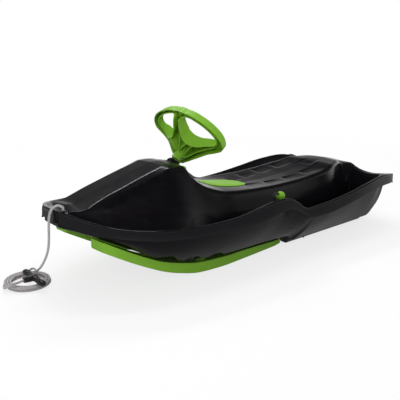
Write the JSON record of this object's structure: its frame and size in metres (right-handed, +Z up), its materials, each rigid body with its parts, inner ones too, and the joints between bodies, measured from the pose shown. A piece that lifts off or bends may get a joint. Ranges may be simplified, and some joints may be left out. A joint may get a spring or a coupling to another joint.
{
  "type": "steering sled",
  "caption": "Two-shell plastic snow sled with a hooded bow, sunken leg wells, wheel steered front skis, hand brakes and a reel wound tow cord",
  "frame": {"origin": "middle of the footprint of the sled without its tow cord, on the snow plane that the skis' running faces and the rear keels stand on", "axes": "+X points to the bow, +Y to the rider's left, +Z up"},
  "size_m": [1.2465, 0.5078, 0.4406],
  "materials": {
    "black_plastic": "moulded, smooth and shiny",
    "green_plastic": "moulded, satin",
    "inner_plastic": "moulded, as it leaves the tool",
    "nylon": "turned or moulded, dry running",
    "cord_fibre": "braided synthetic cord",
    "steel": "zinc plated"
  },
  "bodies": {
    "sled": {"deck_shell": "black_plastic", "hull_shell": "black_plastic", "column_collar": "black_plastic", "pull_handle": "black_plastic", "oval_insert": "green_plastic", "shaft_bracket": "inner_plastic", "cord_eyelet": "inner_plastic", "reel_seat": "inner_plastic", "reel_case": "inner_plastic", "reel_cover": "inner_plastic", "upper_bush": "nylon", "lower_bush": "nylon", "ski_bush_left": "nylon", "ski_bush_right": "nylon", "cord_lead": "cord_fibre", "pull_cord": "cord_fibre", "cord_coil": "cord_fibre", "cord_tail": "cord_fibre", "brake_bracket_left": "steel", "brake_bracket_right": "steel", "brake_pin_left": "steel", "brake_pin_right": "steel", "brake_spring_left": "steel", "brake_spring_right": "steel", "shell_screw_front_left": "steel", "shell_screw_front_right": "steel", "shell_screw_rear_left": "steel", "shell_screw_rear_right": "steel", "reel_screw_front": "steel", "reel_screw_rear": "steel", "reel_axle": "steel", "reel_spring": "steel"},
    "steering": {"steering_wheel": "green_plastic", "wheel_cross_bolt": "steel", "wheel_bolt_nut": "steel", "steering_shaft": "steel", "shaft_clip": "steel"},
    "left_ski": {"ski_left": "green_plastic", "steering_arm_left": "steel", "arm_screw_left": "steel"},
    "right_ski": {"ski_right": "green_plastic", "steering_arm_right": "steel", "arm_screw_right": "steel"},
    "tie_bar": {"tie_bar": "steel", "tie_pin_left": "steel", "tie_pin_right": "steel"},
    "left_brake": {"brake_lever_left": "steel", "brake_knob_left": "green_plastic"},
    "right_brake": {"brake_lever_right": "steel", "brake_knob_right": "green_plastic"},
    "reel": {"reel_spool": "nylon", "wound_cord": "cord_fibre"}
  },
  "joints": [
    {"name": "steering", "type": "hinge", "parent": "sled", "child": "steering", "pos_m": [0.18, 0, 0.287], "axis": [-0.766, 0, 0.6428], "range_deg": [-39.2, 20.8]},
    {"name": "left_ski", "type": "hinge", "parent": "sled", "child": "left_ski", "pos_m": [0.2, 0.11, 0.05], "axis": [0, 0, 1], "range_deg": [-14.3, 7.7]},
    {"name": "right_ski", "type": "hinge", "parent": "sled", "child": "right_ski", "pos_m": [0.2, -0.11, 0.05], "axis": [0, 0, 1], "range_deg": [-14.3, 7.7]},
    {"name": "tie_bar", "type": "slide", "parent": "sled", "child": "tie_bar", "axis": [0, 1, 0], "range_m": [-0.0265, 0.0142]},
    {"name": "left_brake", "type": "hinge", "parent": "sled", "child": "left_brake", "pos_m": [-0.15, 0.153, 0.08], "axis": [0, -1, 0], "range_deg": [0, 22], "stiffness_Nm_per_rad": 0.6, "springref_deg": -28.65},
    {"name": "right_brake", "type": "hinge", "parent": "sled", "child": "right_brake", "pos_m": [-0.15, -0.153, 0.08], "axis": [0, -1, 0], "range_deg": [0, 22], "stiffness_Nm_per_rad": 0.6, "springref_deg": -28.65},
    {"name": "reel_spin", "type": "hinge", "parent": "sled", "child": "reel", "pos_m": [0.44, 0, 0.1639], "axis": [0, 0, -1], "range_deg": [0, 720], "stiffness_Nm_per_rad": 0.003, "springref_deg": -572.96}
  ],
  "couplings": [
    {"joint": "left_ski", "follows": "steering", "ratio": 0.361},
    {"joint": "right_ski", "follows": "steering", "ratio": 0.361},
    {"joint": "tie_bar", "follows": "steering", "m_per_rad": 0.0383}
  ]
}
